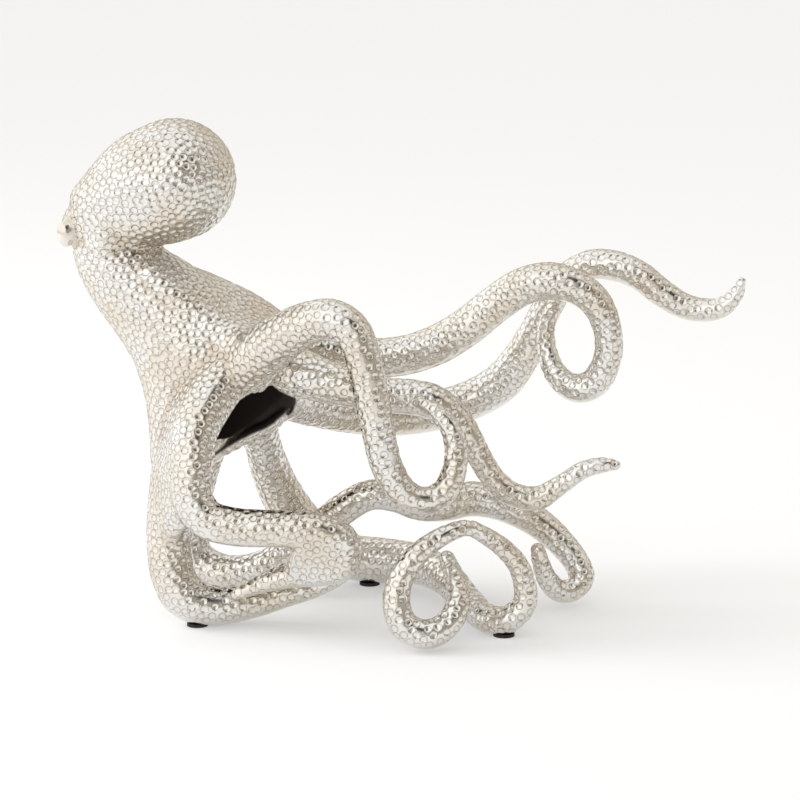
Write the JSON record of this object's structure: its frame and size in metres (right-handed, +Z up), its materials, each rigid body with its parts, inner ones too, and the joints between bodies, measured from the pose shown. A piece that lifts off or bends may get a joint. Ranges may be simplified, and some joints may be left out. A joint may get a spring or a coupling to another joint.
{
  "type": "octopus figurine",
  "caption": "Free-standing cast metal octopus ornament with a raised bulbous head and hammered arms that curl, loop and reach out to one side",
  "frame": {"origin": "centre of the footprint of the whole figure's box, at the undersides of the pads", "axes": "+X towards the reaching arms, +Y away from the pictured side, +Z up"},
  "size_m": [0.49, 0.2222, 0.3526],
  "materials": {
    "body_metal": "nickel-toned cast metal, hammered all over, with warm shade in the hollows; smooth eyes, dark inside",
    "arm_outer_leg_metal": "nickel-toned cast metal, hammered with small round dimples",
    "arm_hairpin_metal": "nickel-toned cast metal, hammered with small round dimples",
    "arm_arch_loop_metal": "nickel-toned cast metal, hammered with small round dimples",
    "arm_pointing_metal": "nickel-toned cast metal, hammered with small round dimples",
    "arm_teardrop_loop_metal": "nickel-toned cast metal, hammered with small round dimples",
    "arm_long_reach_metal": "nickel-toned cast metal, hammered with small round dimples",
    "arm_ring_leg_metal": "nickel-toned cast metal, hammered with small round dimples",
    "arm_hook_metal": "nickel-toned cast metal, hammered with small round dimples",
    "pad_rubber": "matt black"
  },
  "bodies": {
    "root": {"body_shell": "body_metal", "arm_outer_leg": "arm_outer_leg_metal", "arm_hairpin": "arm_hairpin_metal", "arm_arch_loop": "arm_arch_loop_metal", "arm_pointing": "arm_pointing_metal", "arm_teardrop_loop": "arm_teardrop_loop_metal", "arm_long_reach": "arm_long_reach_metal", "arm_ring_leg": "arm_ring_leg_metal", "arm_hook": "arm_hook_metal", "pad_outer_leg": "pad_rubber", "pad_hook": "pad_rubber", "pad_ring_leg_back": "pad_rubber", "pad_ring_leg_front": "pad_rubber"}
  },
  "joints": []
}
